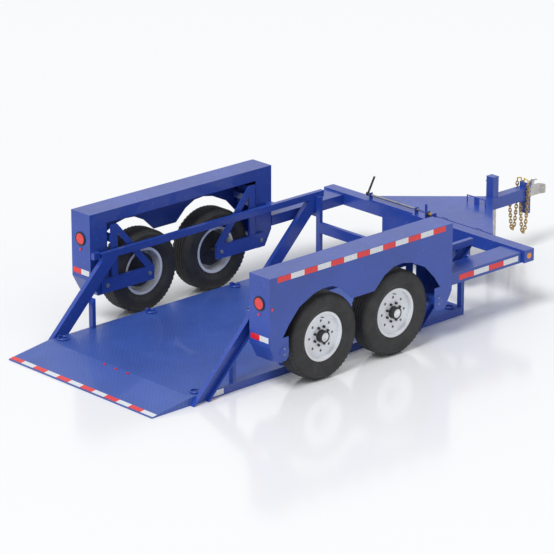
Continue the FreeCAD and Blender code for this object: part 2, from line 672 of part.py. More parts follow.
def tongue_rails():
    """The two slanted side channels and the crosspiece that carries the hinge ears."""
    under = CROSSBEAM_TOP - TONGUE_PLATE
    half_tube = TONGUE_TUBE_WIDTH / 2
    crosspiece_x = hinge_x + 50
    slope = (TONGUE_HALF_BASE - half_tube) / (apex_x - tongue_rear_x)
    step = TONGUE_RAIL_WIDTH * math.sqrt(1 + slope * slope)
    edge = TONGUE_HALF_BASE - (crosspiece_x - tongue_rear_x) * slope
    rail = prism_z([(tongue_rear_x, TONGUE_HALF_BASE - step), (tongue_rear_x, TONGUE_HALF_BASE),
                    (apex_x, half_tube), (apex_x - step / slope, half_tube)], beam_bottom, under)
    crosspiece = box(crosspiece_x, crosspiece_x + 50, half_tube, edge - 60, beam_bottom, under)
    return fused([rail, crosspiece] + hinge_ears())


def tongue_tube():
    half = TONGUE_TUBE_WIDTH / 2
    under = CROSSBEAM_TOP - TONGUE_PLATE
    wall = SECTION_WALL
    back = box(hinge_x + 50, apex_x, -half, half, beam_bottom, under)
    front = box(apex_x, channel_rear_x, -half, half, beam_bottom, CROSSBEAM_TOP)
    tube = back.fuse(front)
    tube = tube.cut(box(hinge_x + 50, channel_rear_x, wall - half, half - wall, beam_bottom + wall, under - wall))
    jack_x = apex_x + JACK_AHEAD
    hole = box(jack_x, jack_x + JACK_SIZE[0], -JACK_SIZE[1] / 2, JACK_SIZE[1] / 2, beam_bottom, CROSSBEAM_TOP)
    return tube.cut(hole).removeSplitter()


def coupler_channel():
    """An upright channel, open to the front, with a row of bolt holes in each flange."""
    half = COUPLER_CHANNEL_WIDTH / 2
    wall = COUPLER_CHANNEL_WALL
    top = COUPLER_CHANNEL_BOTTOM + COUPLER_CHANNEL_HEIGHT
    outer = box(channel_rear_x, channel_front_x, -half, half, COUPLER_CHANNEL_BOTTOM, top)
    channel = outer.cut(box(channel_rear_x + wall, channel_front_x, wall - half, half - wall,
                            COUPLER_CHANNEL_BOTTOM, top))
    hole_x = channel_front_x - COUPLER_CHANNEL_DEPTH / 3
    for index in range(COUPLER_HOLE_COUNT):
        z = COUPLER_CHANNEL_BOTTOM + COUPLER_HOLE_FIRST + index * COUPLER_HOLE_PITCH
        channel = channel.cut(rod_y(COUPLER_HOLE_RADIUS, hole_x, z, -half, half))
    return channel


def coupler():
    """A cast ball coupler: a tang in the channel, a body and a hollow nose."""
    inner = COUPLER_CHANNEL_WIDTH / 2 - COUPLER_CHANNEL_WALL
    tang = box(channel_rear_x + COUPLER_CHANNEL_WALL, channel_front_x + 20, -inner, inner,
               COUPLER_HEIGHT - 55, COUPLER_HEIGHT + 55)
    ball_x = coupler_front_x - 52
    body = prism_y([(channel_front_x, COUPLER_HEIGHT - 50), (ball_x, COUPLER_HEIGHT - 50),
                    (ball_x, COUPLER_HEIGHT + 20), (channel_front_x + 40, COUPLER_HEIGHT + 60),
                    (channel_front_x, COUPLER_HEIGHT + 60)], -36, 36)
    nose = rod_z(52, ball_x, 0, COUPLER_HEIGHT - 50, COUPLER_HEIGHT + 20)
    solid = fused([tang, body, nose])
    pocket = Part.makeSphere(BALL_RADIUS, Vector(ball_x, 0, COUPLER_HEIGHT - 30))
    throat = rod_z(BALL_RADIUS, ball_x, 0, COUPLER_HEIGHT - 50, COUPLER_HEIGHT - 30)
    return solid.cut(pocket.fuse(throat))


def jack_tube():
    x0 = apex_x + JACK_AHEAD
    half = JACK_SIZE[1] / 2
    outer = box(x0, x0 + JACK_SIZE[0], -half, half, beam_bottom, JACK_TOP)
    wall = JACK_WALL
    return outer.cut(box(x0 + wall, x0 + JACK_SIZE[0] - wall, wall - half, half - wall, beam_bottom, JACK_TOP - wall))


def jack_leg():
    """The inner leg, run down to its foot on the ground."""
    x = apex_x + JACK_AHEAD + JACK_SIZE[0] / 2
    half = JACK_LEG_SIZE / 2
    leg = box(x - half, x + half, -half, half, 0, beam_bottom + 60)
    foot_half = JACK_FOOT[0] / 2
    inner_half = JACK_SIZE[0] / 2 - JACK_WALL
    collar = box(x - inner_half, x + inner_half, -(JACK_SIZE[1] / 2 - JACK_WALL), JACK_SIZE[1] / 2 - JACK_WALL,
                 beam_bottom + 20, beam_bottom + 60)
    return fused([leg, collar, box(x - foot_half, x + foot_half, -foot_half, foot_half, 0, JACK_FOOT[1])])


def safety_chain():
    """A chain from the tube's side, hanging low and rising again beside the coupler channel."""
    y = TONGUE_TUBE_WIDTH / 2 + CHAIN_RADIUS
    top = COUPLER_CHANNEL_BOTTOM + COUPLER_CHANNEL_HEIGHT
    run = [(-CHAIN_SPAN, beam_bottom + 12), (-0.9 * CHAIN_SPAN, 0.6 * beam_bottom + 0.4 * CHAIN_LOW),
           (-0.7 * CHAIN_SPAN, CHAIN_LOW + 25), (-0.5 * CHAIN_SPAN, CHAIN_LOW), (-0.3 * CHAIN_SPAN, CHAIN_LOW + 25),
           (-0.1 * CHAIN_SPAN, 0.6 * beam_bottom + 0.4 * CHAIN_LOW), (0, beam_bottom), (0, top)]
    curve = Part.BSplineCurve()
    curve.interpolate([Vector(channel_rear_x - 2 * CHAIN_RADIUS + x, y, z) for x, z in run])
    path = Part.Wire(curve.toShape())
    ring = Part.Wire(Part.makeCircle(CHAIN_RADIUS, curve.value(curve.FirstParameter),
                                     curve.tangent(curve.FirstParameter)[0]))
    return path.makePipeShell([ring], True, True)


def cable_guide():
    """A low hoop of flat bar across the tongue plate, with a plate at its middle."""
    x = apex_x - 240
    top = CROSSBEAM_TOP + 70
    hoop = box(x, x + 8, -184, 56, CROSSBEAM_TOP, top).cut(box(x, x + 8, -176, 48, CROSSBEAM_TOP, top - 8))
    return hoop.fuse(box(x, x + 8, -100, -40, CROSSBEAM_TOP, top))


# ---------------------------------------------------------------- lamps and latch
def tail_lamp():
    return rod_x(TAIL_LAMP_RADIUS, spring_y, TAIL_LAMP_HEIGHT, box_rear_x - LAMP_DEPTH, box_rear_x)


def marker_lamps():
    below = rod_x(MARKER_RADIUS, spring_y, TAIL_LAMP_HEIGHT - 97, box_rear_x - LAMP_DEPTH, box_rear_x)
    side = rod_y(MARKER_RADIUS, box_rear_x + 22, TAIL_LAMP_HEIGHT - 30, box_out_y, half_width)
    slope_x = deck_rear_x - 25
    lamps = both_sides([below, side])
    for y in (-150, 0, 150):
        lamp = box(slope_x - 8, slope_x + 8, y - 12, y + 12, DECK_HEIGHT / 2, DECK_HEIGHT + 4)
        lamps.append(lamp.cut(ramp_wedge()))
    return lamps


def side_marker():
    x = (beam_rear_x + beam_front_x) / 2
    return rod_y(SIDE_LAMP_RADIUS, x, (beam_bottom + CROSSBEAM_TOP) / 2, half_width - 4, half_width)


latch_x = beam_rear_x + CROSSBEAM_WIDTH / 2
latch_z = CROSSBEAM_TOP + LATCH_SHAFT_HEIGHT


def latch_shaft():
    return rod_y(LATCH_SHAFT_RADIUS, latch_x, latch_z, LATCH_END_Y, LATCH_Y)


def latch_brackets():
    """Two bearing plates under the shaft's ends, and the catch's clevis."""
    plates = []
    for y in (LATCH_Y - 30, LATCH_END_Y + 30):
        plate = box(latch_x - 20, latch_x + 20, y - 5, y + 5, CROSSBEAM_TOP, latch_z + 20)
        plates.append(plate.cut(rod_y(LATCH_SHAFT_RADIUS + HINGE_FIT, latch_x, latch_z, y - 5, y + 5)))
    for y in (-20, -100):
        plates.append(box(latch_x - 30, latch_x + 30, y - 5, y + 5, CROSSBEAM_TOP, latch_z + 14))
    return plates


def latch_handle():
    lean = math.radians(HANDLE_LEAN)
    along = Vector(math.sin(lean), 0, math.cos(lean))
    start = Vector(latch_x, LATCH_Y + HANDLE_HUB_LENGTH / 2, latch_z)
    hub_end = rod_y(HANDLE_HUB_RADIUS, latch_x, latch_z, LATCH_Y, LATCH_Y + HANDLE_HUB_LENGTH)
    return hub_end.fuse(Part.makeCylinder(HANDLE_RADIUS, HANDLE_LENGTH, start, along))


# ---------------------------------------------------------------- write every node
save("deck_plate", deck_plate())
save("deck_crossmembers", deck_crossmembers())
save("side_sills", both_sides([side_sill()]))
save("ramp", ramp())
save("tie_down_rings", tie_down_rings())
save("rear_braces", both_sides([brace(rear_brace_top_x)]))
save("front_braces", both_sides([brace(front_brace_top_x)]))
save("posts", both_sides([rear_post(), front_post()]))
save("top_rails", both_sides([top_rail()]))
save("side_rails", both_sides([side_rail()]))
save("frame_brackets", both_sides([rail_bracket(), box_bracket(), mirrored_end(box_bracket())]))
save("crossbeam", crossbeam())
save("lower_beam", lower_beam())
save("front_bulkhead", front_bulkhead())

left_box = wheel_box()
save("wheel_box_left", left_box)
save("wheel_box_right", mirrored_side(left_box))
rear_tube = pivot_tube()
save("pivot_tubes", both_sides([rear_tube, mirrored_end(rear_tube)]))
rear_spring = air_spring()
save("air_springs", both_sides([rear_spring, mirrored_end(rear_spring)]))

save("tail_lamps", both_sides([tail_lamp()]))
save("marker_lamps", marker_lamps())
save("side_markers", both_sides([side_marker()]))
save("latch_shaft", latch_shaft())
save("latch_brackets", latch_brackets())
save("latch_handle", latch_handle())
save("hinge_lugs", hinge_lugs())

wheel_set = {"swing_arm": swing_arm(), "spindle": spindle(), "tyre": tyre(), "rim": rim_with_lug_holes(), "hub": hub()}
for name, shape in wheel_set.items():
    save(name + "_rear_left", shape)
    save(name + "_front_left", mirrored_end(shape))
    save(name + "_rear_right", mirrored_side(shape))
    save(name + "_front_right", mirrored_side(mirrored_end(shape)))

save("tongue_plate", tongue_plate())
save("tongue_rails", both_sides([tongue_rails()]))
save("tongue_tube", tongue_tube())
save("coupler_channel", coupler_channel())
save("coupler", coupler())
save("jack_tube", jack_tube())
save("jack_leg", jack_leg())
save("safety_chains", both_sides([safety_chain()]))
save("cable_guide", cable_guide())
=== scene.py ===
import json
import math

import bmesh
import bpy
from mathutils import Matrix, Vector

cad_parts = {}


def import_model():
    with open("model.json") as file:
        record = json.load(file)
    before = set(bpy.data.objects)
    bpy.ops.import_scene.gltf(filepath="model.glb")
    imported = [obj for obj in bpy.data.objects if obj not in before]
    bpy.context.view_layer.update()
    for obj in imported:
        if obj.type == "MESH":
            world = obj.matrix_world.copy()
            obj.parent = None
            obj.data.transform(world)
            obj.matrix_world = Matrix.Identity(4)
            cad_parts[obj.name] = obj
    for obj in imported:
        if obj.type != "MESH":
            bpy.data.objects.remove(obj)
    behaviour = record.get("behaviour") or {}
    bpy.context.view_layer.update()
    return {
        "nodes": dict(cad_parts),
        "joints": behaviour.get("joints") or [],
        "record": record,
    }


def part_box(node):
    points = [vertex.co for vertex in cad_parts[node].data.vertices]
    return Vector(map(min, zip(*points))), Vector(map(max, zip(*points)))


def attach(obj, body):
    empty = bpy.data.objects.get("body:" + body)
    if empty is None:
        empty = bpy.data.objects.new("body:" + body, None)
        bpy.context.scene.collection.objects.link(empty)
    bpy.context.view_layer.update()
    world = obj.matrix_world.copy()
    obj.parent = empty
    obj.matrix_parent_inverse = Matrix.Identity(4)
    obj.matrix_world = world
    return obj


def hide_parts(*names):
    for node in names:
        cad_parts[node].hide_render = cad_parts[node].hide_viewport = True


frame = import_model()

# ---------------------------------------------------------------- sizes, in metres
WHEELS = ("rear_left", "front_left", "rear_right", "front_right")

# tyres; a profile point is (radius, distance from the tyre's middle)
TREAD_HALF = 0.0655
GROOVE_CENTRES = (-0.045, -0.015, 0.015, 0.045)
GROOVE_WIDTH = 0.008
GROOVE_DEPTH = 0.009
GROOVE_WALL_LEAN = 0.001
BEAD_RADIUS = 0.2035
BEAD_HALF = 0.073
BEAD_THICKNESS = 0.016
SIDEWALL_INNER_RADIUS = 0.300
SIDEWALL_THICKNESS = 0.020
CROWN_THICKNESS = 0.030
CROWN_CORNER = 0.040
INSIDE_CAD = 0.0002
TYRE_STEPS = 120
SHOULDER_BLOCKS = 56
SHOULDER_BLOCK_SIZE = (0.012, 0.020, 0.024)
SHOULDER_BLOCK_BEVEL = 0.002
SHOULDER_BLOCK_TURN = 38
SHOULDER_SINK = 0.0135
SHOULDER_INSET = 0.030

# hubs, valves and pivots; a dome point is (radius, height above the hub's face)
HUB_DOME = ((0.040, 0.0), (0.040, 0.003), (0.034, 0.0075), (0.022, 0.0105),
            (0.0, 0.0115), (0.0, 0.0))
VALVE_RADIUS = 0.0042
VALVE_LENGTH = 0.032
VALVE_LEAN = 0.004
VALVE_SINK = 0.050
VALVE_OFFSET = 0.168
ARM_BOLT = 0.022
PIVOT_COVER_RADIUS = 0.052
PIVOT_COVER_THICKNESS = 0.003
PIVOT_COVER_BOLT = 0.008
PIVOT_COVER_BOLT_OFFSET = 0.026

# reflective tape
TAPE_THICKNESS = 0.0015
TAPE_WIDTH = 0.050
TAPE_BEVEL = 0.0004
BOX_TAPE_SEGMENTS = 13
BOX_TAPE_REAR_GAP = 0.087
BOX_TAPE_FRONT_GAP = 0.089
BOX_TAPE_DROP = 0.003
REAR_TAPE_RISE = 0.190
REAR_TAPE_HALF = 0.109
RAIL_TAPE_SEGMENTS = 4
RAIL_TAPE_START = 0.11
RAIL_TAPE_STEP = 0.19
SILL_TAPE_START = 0.170
SILL_TAPE_RED_END = 0.06
SILL_TAPE_WHITE_END = 0.19
SILL_TAPE_DROP = 0.004
RAMP_TAPE_SEGMENTS = 12
RAMP_TAPE_INSET = 0.034
RAMP_EDGE_HEIGHT = 0.010

# tail lamps; a surround point is (distance outside the lamp's radius, X from its front)
LAMP_SURROUND = ((0.0005, 0.0), (0.0005, -0.011), (0.004, -0.013), (0.013, -0.010), (0.014, 0.0))
LAMP_SURROUND_STEPS = 48

# latch, coupler and jack
CATCH_ROLLER_ENDS = (-0.094, -0.026)
CATCH_ROLLER_RADIUS = 0.018
CATCH_ROLLER_RISE = 0.030
COUPLER_BOLT_HEIGHTS = (0.5264, 0.5772)
COUPLER_BOLT_BACK = 0.015
COUPLER_BOLT = 0.019
JACK_CAP_RISE = 0.006
JACK_CAP_LIP = 0.003
JACK_CAP_GAP = 0.0002
JACK_SHAFT_RADIUS = 0.012
JACK_SHAFT_LENGTH = 0.030
JACK_SHAFT_DROP = 0.055

# safety chains
LINK_RADIUS = 0.013
LINK_WIRE = 0.0048
LINK_PITCH = 0.029
LINK_STRETCH = 1.55
CHAIN_WIRE = 0.007
CHAIN_SPAN = 0.100
CHAIN_BOTTOM = 0.175
CHAIN_BEND_SHARE = 0.6
CHAIN_REACH = 0.057
CHAIN_STAND_OFF = 0.012
CHAIN_LINE_STEPS = 24
HOOK_RADIUS = 0.006
HOOK_INNER_REACH = 0.020

# deck pattern: the cell's size, then a bar's half length and half width in cells
DECK_PATTERN = 0.045
BAR_HALF_LENGTH = 0.40
BAR_HALF_WIDTH = 0.13
SCUFF_GAIN = 8

# floor, light and camera; angles in degrees, lens in millimetres
FLOOR_HALF = 120.0
FLOOR_DROP = 0.001
SKY_COLOUR = (0.96, 0.98, 1.0, 1.0)
SKY_STRENGTH = 0.66
SUN_STRENGTH = 1.75
SUN_TURN = (0.0, -38.0, 12.0)
SUN_SOFTNESS = 22.0
CAMERA_PLACE = (-19.497, -20.212, 10.121)
CAMERA_TILT = 90.0 - 19.257
CAMERA_TURN = -43.085
CAMERA_LENS = 214.8
CAMERA_SENSOR = 36.0
CAMERA_REACH = 400.0

COLOURS = {
    "frame_blue": (0.020, 0.062, 0.36),
    "deck_blue": (0.038, 0.088, 0.36),
    "tyre_black": (0.022, 0.022, 0.023),
    "rim_white": (0.80, 0.82, 0.86),
    "hub_grey": (0.045, 0.046, 0.050),
    "steel": (0.42, 0.42, 0.43),
    "zinc": (0.52, 0.51, 0.49),
    "gold_zinc": (0.50, 0.35, 0.12),
    "chrome": (0.72, 0.73, 0.75),
    "brass": (0.55, 0.36, 0.09),
    "rubber": (0.018, 0.018, 0.019),
    "red": (0.78, 0.012, 0.014),
    "tape_white": (0.74, 0.76, 0.80),
    "amber": (0.80, 0.26, 0.015),
    "grip": (0.020, 0.020, 0.022),
    "hook_yellow": (0.62, 0.42, 0.03),
    "floor": (0.93, 0.93, 0.935),
}


# ---------------------------------------------------------------- material helpers
class Shading:
    """A new material with a few short ways to add nodes to it."""

    def __init__(self, name, metallic=0.0, coat=0.0):
        self.material = bpy.data.materials.new(name)
        self.material.use_nodes = True
        self.tree = self.material.node_tree
        self.shader = self.tree.nodes["Principled BSDF"]
        self.shader.inputs["Metallic"].default_value = metallic
        self.shader.inputs["Coat Weight"].default_value = coat
        self.coords = self.tree.nodes.new("ShaderNodeTexCoord").outputs["Object"]

    def math(self, kind, first, second=0.0):
        node = self.tree.nodes.new("ShaderNodeMath")
        node.operation = kind
        for socket, value in zip(node.inputs, (first, second)):
            if isinstance(value, (int, float)):
                socket.default_value = value
            else:
                self.tree.links.new(value, socket)
        return node.outputs[0]

    def noise(self, scale, detail=4.0, stretch=(1.0, 1.0, 1.0)):
        spread = self.tree.nodes.new("ShaderNodeMapping")
        spread.inputs["Scale"].default_value = stretch
        self.tree.links.new(self.coords, spread.inputs["Vector"])
        node = self.tree.nodes.new("ShaderNodeTexNoise")
        node.inputs["Scale"].default_value = scale
        node.inputs["Detail"].default_value = detail
        self.tree.links.new(spread.outputs[0], node.inputs["Vector"])
        return node.outputs["Fac"]

    def ramp(self, value, stops):
        node = self.tree.nodes.new("ShaderNodeValToRGB")
        elements = node.color_ramp.elements
        elements[0].position, elements[1].position = stops[0][0], stops[-1][0]
        elements[0].color, elements[1].color = (*stops[0][1], 1.0), (*stops[-1][1], 1.0)
        for place, colour in stops[1:-1]:
            elements.new(place).color = (*colour, 1.0)
        self.tree.links.new(value, node.inputs["Fac"])
        return node.outputs["Color"]

    def mix(self, value, first, second):
        node = self.tree.nodes.new("ShaderNodeMix")
        node.data_type = "RGBA"
        self.tree.links.new(value, node.inputs["Factor"])
        sockets = [s for s in node.inputs if s.type == "RGBA"]
        for socket, colour in zip(sockets, (first, second)):
            if isinstance(colour, tuple):
                socket.default_value = (*colour, 1.0)
            else:
                self.tree.links.new(colour, socket)
        return [s for s in node.outputs if s.type == "RGBA"][0]

    def colour(self, socket):
        self.tree.links.new(socket, self.shader.inputs["Base Color"])

    def roughness(self, value, low, high):
        node = self.tree.nodes.new("ShaderNodeMapRange")
        node.inputs["To Min"].default_value = low
        node.inputs["To Max"].default_value = high
        self.tree.links.new(value, node.inputs["Value"])
        self.tree.links.new(node.outputs[0], self.shader.inputs["Roughness"])

    def bump(self, height, strength, distance):
        node = self.tree.nodes.new("ShaderNodeBump")
        node.inputs["Strength"].default_value = strength
        node.inputs["Distance"].default_value = distance
        self.tree.links.new(height, node.inputs["Height"])
        self.tree.links.new(node.outputs[0], self.shader.inputs["Normal"])


def scaled(colour, factor):
    return tuple(min(1.0, part * factor) for part in colour)


def paint(name, colour, wear=0.06, low=0.22, high=0.42):
    """Sprayed gloss paint: slight drift of tone, fine orange peel, dusty scuffs."""
    made = Shading(name, coat=0.25)
    tone = made.ramp(made.noise(2.5), [(0.3, scaled(colour, 0.90)), (0.7, scaled(colour, 1.12))])
    scuffed = (wear * SCUFF_GAIN, wear * SCUFF_GAIN, wear * SCUFF_GAIN)
    scuff = made.ramp(made.noise(38.0, 6.0), [(0.62, (0.0, 0.0, 0.0)), (0.74, scuffed)])
    dust = tuple(0.75 * part + 0.12 for part in colour)
    made.colour(made.mix(scuff, tone, dust))
    made.roughness(made.noise(14.0), low, high)
    made.bump(made.noise(420.0, 2.0), 0.08, 0.0006)
    return made.material


def tread_plate(name, colour):
    """Painted floor plate with short raised bars that alternate in direction, and a painted highlight in
    patches on the bars.
    """
    made = Shading(name, coat=0.15)
    split = made.tree.nodes.new("ShaderNodeSeparateXYZ")
    made.tree.links.new(made.coords, split.inputs[0])
    x, y = split.outputs[0], split.outputs[1]
    along = made.math("DIVIDE", made.math("ADD", x, y), DECK_PATTERN)
    across = made.math("DIVIDE", made.math("SUBTRACT", x, y), DECK_PATTERN)
    places = [made.math("ABSOLUTE", made.math("SUBTRACT", made.math("FRACT", way), 0.5))
              for way in (along, across)]
    cell = made.math("ADD", made.math("FLOOR", along), made.math("FLOOR", across))
    odd = made.math("GREATER_THAN", made.math("ABSOLUTE", made.math("MODULO", cell, 2.0)), 0.5)
    bars = []
    for long_way, short_way in (places, places[::-1]):
        inside = made.math("LESS_THAN", long_way, BAR_HALF_LENGTH)
        narrow = made.math("LESS_THAN", short_way, BAR_HALF_WIDTH)
        bars.append(made.math("MULTIPLY", inside, narrow))
    first = made.math("MULTIPLY", bars[0], odd)
    second = made.math("MULTIPLY", bars[1], made.math("SUBTRACT", 1.0, odd))
    raised = made.math("ADD", first, second)
    tone = made.ramp(made.noise(1.8), [(0.3, scaled(colour, 0.86)), (0.7, scaled(colour, 1.14))])
    # Patches of the raised bars are painted a lighter blue: a painted highlight where light catches the
    # bars' tops.
    painted_bar_highlight = made.math("MULTIPLY", raised, made.math("MULTIPLY", made.noise(6.0), 0.8))
    made.colour(made.mix(painted_bar_highlight, tone, scaled(colour, 1.7)))
    made.roughness(made.noise(9.0), 0.26, 0.50)
    made.bump(raised, 0.45, 0.0012)
    return made.material


def rubber(name, colour, scale=90.0):
    made = Shading(name)
    tone = made.ramp(made.noise(7.0, 5.0),
                     [(0.3, scaled(colour, 0.8)), (0.75, scaled(colour, 1.7))])
    made.colour(tone)
    made.roughness(made.noise(30.0), 0.52, 0.80)
    made.bump(made.noise(scale, 5.0), 0.22, 0.0015)
    return made.material


def metal(name, colour, low=0.22, high=0.45, stretch=(1.0, 1.0, 12.0)):
    """Bare or plated metal with a drawn grain and patches of dullness."""
    made = Shading(name, metallic=1.0)
    tone = made.ramp(made.noise(18.0, 5.0),
                     [(0.3, scaled(colour, 0.75)), (0.7, scaled(colour, 1.15))])
    made.colour(tone)
    made.roughness(made.noise(25.0), low, high)
    made.bump(made.noise(160.0, 3.0, stretch), 0.12, 0.0006)
    return made.material


def cast(name, colour):
    made = Shading(name, metallic=0.5)
    tone = made.ramp(made.noise(22.0, 6.0),
                     [(0.3, scaled(colour, 0.7)), (0.75, scaled(colour, 1.5))])
    made.colour(tone)
    made.roughness(made.noise(40.0), 0.45, 0.72)
    made.bump(made.noise(260.0, 4.0), 0.3, 0.001)
    return made.material


def lens(name, colour):
    """Moulded lens with fine cube-corner ribs."""
    made = Shading(name, coat=0.6)
    made.colour(made.ramp(made.noise(30.0), [(0.3, scaled(colour, 0.8)), (0.7, scaled(colour, 1.2))]))
    made.roughness(made.noise(20.0), 0.12, 0.25)
    cells = made.tree.nodes.new("ShaderNodeTexVoronoi")
    cells.inputs["Scale"].default_value = 240.0
    made.tree.links.new(made.coords, cells.inputs["Vector"])
    made.bump(cells.outputs["Distance"], 0.35, 0.001)
    return made.material


def tape(name, colour):
    """Retroreflective tape: a honeycomb of small cells under a clear face."""
    made = Shading(name, coat=0.4)
    cells = made.tree.nodes.new("ShaderNodeTexVoronoi")
    cells.inputs["Scale"].default_value = 180.0
    made.tree.links.new(made.coords, cells.inputs["Vector"])
    tone = made.ramp(cells.outputs["Distance"],
                     [(0.2, scaled(colour, 1.1)), (0.8, scaled(colour, 0.82))])
    made.colour(tone)
    made.roughness(made.noise(25.0), 0.20, 0.36)
    made.bump(cells.outputs["Distance"], 0.15, 0.0005)
    return made.material


frame_paint = paint("frame_blue", COLOURS["frame_blue"])
deck_paint = tread_plate("deck_blue", COLOURS["deck_blue"])
tyre_rubber = rubber("tyre_black", COLOURS["tyre_black"])
rim_paint = paint("rim_white", COLOURS["rim_white"], wear=0.04, low=0.18, high=0.34)
hub_metal = cast("hub_grey", COLOURS["hub_grey"])
bare_steel = metal("steel", COLOURS["steel"])
zinc_steel = metal("zinc", COLOURS["zinc"], low=0.28, high=0.5)
gold_zinc = metal("gold_zinc", COLOURS["gold_zinc"], low=0.28, high=0.5)
chrome = metal("chrome", COLOURS["chrome"], low=0.06, high=0.16)
brass = metal("brass", COLOURS["brass"])
spring_rubber = rubber("spring_rubber", COLOURS["rubber"], scale=140.0)
red_lens = lens("red_lens", COLOURS["red"])
amber_lens = lens("amber_lens", COLOURS["amber"])
grip_plastic = rubber("grip", COLOURS["grip"], scale=220.0)
hook_paint = paint("hook_yellow", COLOURS["hook_yellow"])
red_tape = tape("tape_red", COLOURS["red"])
white_tape = tape("tape_white", COLOURS["tape_white"])

SLOT_MATERIALS = {
    "frame_paint": frame_paint,
    "deck_paint": deck_paint,
    "tyre": tyre_rubber,
    "rim_paint": rim_paint,
    "hub_metal": hub_metal,
    "bare_steel": bare_steel,
    "zinc_steel": zinc_steel,
    "rubber": spring_rubber,
    "red_lens": red_lens,
    "amber_lens": amber_lens,
    "grip": grip_plastic,
}
for subpart in frame["record"]["subparts"]:
    mesh = frame["nodes"][subpart["node"]].data
    mesh.materials.clear()
    mesh.materials.append(SLOT_MATERIALS[subpart["material_slot"]])


# ---------------------------------------------------------------- shape helpers
def piece(name, bm, material, body, smooth=False):
    """Turn a bmesh into a finished piece that rides on a body."""
    bmesh.ops.remove_doubles(bm, verts=bm.verts, dist=1e-6)
    bmesh.ops.recalc_face_normals(bm, faces=bm.faces)
    mesh = bpy.data.meshes.new(name)
    bm.to_mesh(mesh)
    bm.free()
    mesh.materials.append(material)
    made = bpy.data.objects.new(name, mesh)
    bpy.context.scene.collection.objects.link(made)
    if smooth:
        mesh.shade_smooth()
        mesh.set_sharp_from_angle(angle=math.radians(35))
    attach(made, body)
    return made


def soften(bm, edges, width):
    bmesh.ops.bevel(bm, geom=edges, offset=width, segments=2, affect="EDGES", profile=0.5,
                    material=-1)


def add_box(bm, low, high, bevel=0.0, turn=None):
    low, high = Vector(low), Vector(high)
    matrix = Matrix.Translation((low + high) / 2)
    if turn is not None:
        matrix = matrix @ turn
    matrix = matrix @ Matrix.Diagonal((*(high - low), 1.0))
    made = bmesh.ops.create_cube(bm, size=1.0, matrix=matrix)
    if bevel:
        edges = list({edge for vert in made["verts"] for edge in vert.link_edges})
        soften(bm, edges, bevel)


def add_rod(bm, start, end, radius, sides=32, bevel=0.0):
    start, end = Vector(start), Vector(end)
    turn = (end - start).to_track_quat("Z", "Y").to_matrix().to_4x4()
    matrix = Matrix.Translation((start + end) / 2) @ turn
    made = bmesh.ops.create_cone(bm, cap_ends=True, segments=sides, radius1=radius,
                                 radius2=radius, depth=(end - start).length, matrix=matrix)
    if bevel:
        rims = [edge for edge in {e for v in made["verts"] for e in v.link_edges}
                if any(len(face.verts) == sides for face in edge.link_faces)]
        soften(bm, rims, bevel)


def add_turned(bm, profile, centre, steps=96):
    """Turn a closed profile of (radius, along) pairs about a line along Y."""
    verts = [bm.verts.new((centre.x + radius, centre.y + along, centre.z))
             for radius, along in profile]
    edges = [bm.edges.new((verts[i], verts[(i + 1) % len(verts)])) for i in range(len(verts))]
    bmesh.ops.spin(bm, geom=verts + edges, cent=centre, axis=(0, 1, 0), angle=2 * math.pi,
                   steps=steps, use_merge=True)


def add_bolt(bm, base, direction, size):
    """A washer and a hexagon head, standing on a face."""
    base, direction = Vector(base), Vector(direction).normalized()
    washer_top = base + direction * size * 0.12
    head_top = base + direction * size * 0.55
    add_rod(bm, base, washer_top, size * 0.95, 24)
    add_rod(bm, washer_top, head_top, size * 0.72, 6, size * 0.05)


def middle(node):
    low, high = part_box(node)
    return (Vector(low) + Vector(high)) / 2


def side_of(name):
    return 1 if name.endswith("left") else -1


def tape_layer(low, high, sign):
    """The Y span of a layer of tape on a box's outer side, lower one first."""
    face = high[1] if sign > 0 else low[1]
    return sorted((face, face + sign * TAPE_THICKNESS))


def arm_pivot(name):
    joint = next(j for j in frame["joints"] if j["name"] == "arm_lift_" + name)
    return Vector(joint["pos_m"])


# ---------------------------------------------------------------- tyres and wheels
def tread_profile(radius):
    """The crown from one shoulder to the other, with its grooves."""
    points = []
    for centre in GROOVE_CENTRES:
        near, far = centre - GROOVE_WIDTH / 2, centre + GROOVE_WIDTH / 2
        points += [(radius, near), (radius - GROOVE_DEPTH, near + GROOVE_WALL_LEAN),
                   (radius - GROOVE_DEPTH, far - GROOVE_WALL_LEAN), (radius, far)]
    return [(radius, -TREAD_HALF)] + points + [(radius, TREAD_HALF)]


